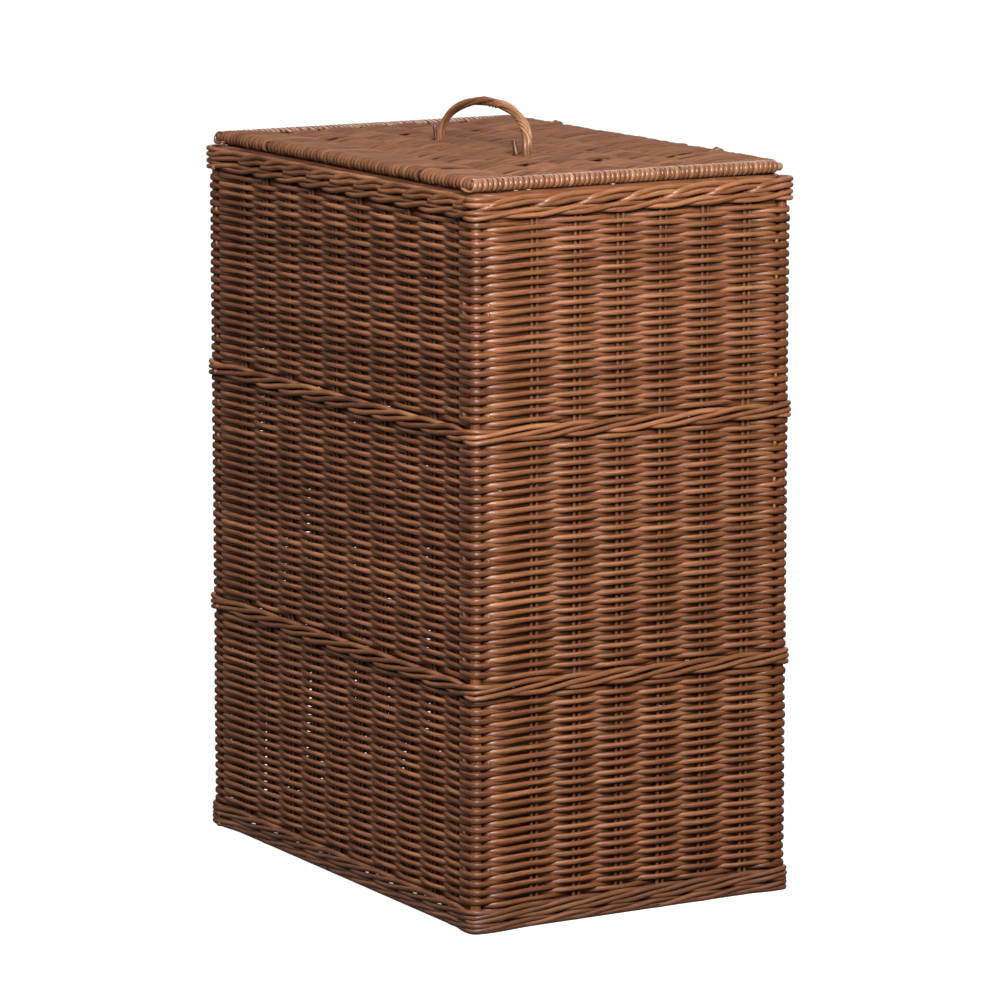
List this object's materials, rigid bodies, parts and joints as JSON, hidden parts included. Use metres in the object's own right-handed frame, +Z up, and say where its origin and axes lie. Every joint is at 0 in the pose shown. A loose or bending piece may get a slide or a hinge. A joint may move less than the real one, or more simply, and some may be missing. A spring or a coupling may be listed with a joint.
{
  "type": "woven laundry basket",
  "caption": "Tall rectangular woven willow laundry basket with twisted wale bands, a back-hinged flat lid and an arched rod handle.",
  "frame": {"origin": "middle of the footprint, on the floor the basket stands on", "axes": "+Z up; +X along the long walls; +Y towards the hinged back wall, so -Y is the front long wall where the lid lifts"},
  "size_m": [0.4592, 0.3042, 0.6529],
  "materials": {
    "siding": "peeled, stained and lightly varnished willow weavers",
    "wale": "thicker stained willow rods, satin varnish",
    "border": "thicker stained willow rods, satin varnish",
    "lid_weave": "stained willow, drier and more matt than the walls",
    "rod": "thin stained willow rods twisted together, satin varnish",
    "stake": "stained willow stakes, dull",
    "post": "thick stained willow corner rods, satin",
    "stick": "stained willow sticks, dull",
    "base_weave": "stained willow, dull"
  },
  "bodies": {
    "basket": {"base_weave": "base_weave", "base_stick_1": "stick", "base_stick_2": "stick", "base_stick_3": "stick", "base_stick_4": "stick", "base_stick_5": "stick", "foot_wale": "wale", "corner_post_left_front": "post", "corner_post_left_back": "post", "corner_post_right_front": "post", "corner_post_right_back": "post", "stake_pair_front_1": "stake", "stake_pair_front_2": "stake", "stake_pair_front_3": "stake", "stake_pair_front_4": "stake", "stake_pair_front_5": "stake", "stake_pair_front_6": "stake", "stake_pair_front_7": "stake", "stake_pair_front_8": "stake", "stake_pair_front_9": "stake", "stake_pair_front_10": "stake", "stake_pair_back_1": "stake", "stake_pair_back_2": "stake", "stake_pair_back_3": "stake", "stake_pair_back_4": "stake", "stake_pair_back_5": "stake", "stake_pair_back_6": "stake", "stake_pair_back_7": "stake", "stake_pair_back_8": "stake", "stake_pair_back_9": "stake", "stake_pair_back_10": "stake", "stake_pair_left_1": "stake", "stake_pair_left_2": "stake", "stake_pair_left_3": "stake", "stake_pair_left_4": "stake", "stake_pair_left_5": "stake", "stake_pair_left_6": "stake", "stake_pair_right_1": "stake", "stake_pair_right_2": "stake", "stake_pair_right_3": "stake", "stake_pair_right_4": "stake", "stake_pair_right_5": "stake", "stake_pair_right_6": "stake", "lower_siding": "siding", "lower_wale": "wale", "middle_siding": "siding", "upper_wale": "wale", "upper_siding": "siding", "top_wale": "wale", "border": "border", "hinge_loop_left": "rod", "hinge_loop_right": "rod"},
    "lid": {"lid_mat": "lid_weave", "lid_end_stick_left": "stick", "lid_end_stick_right": "stick", "lid_handle": "rod"}
  },
  "joints": [
    {"name": "lid_hinge", "type": "hinge", "parent": "basket", "child": "lid", "pos_m": [0, 0.141, 0.607], "axis": [-1, 0, 0], "range_deg": [0, 110]}
  ]
}
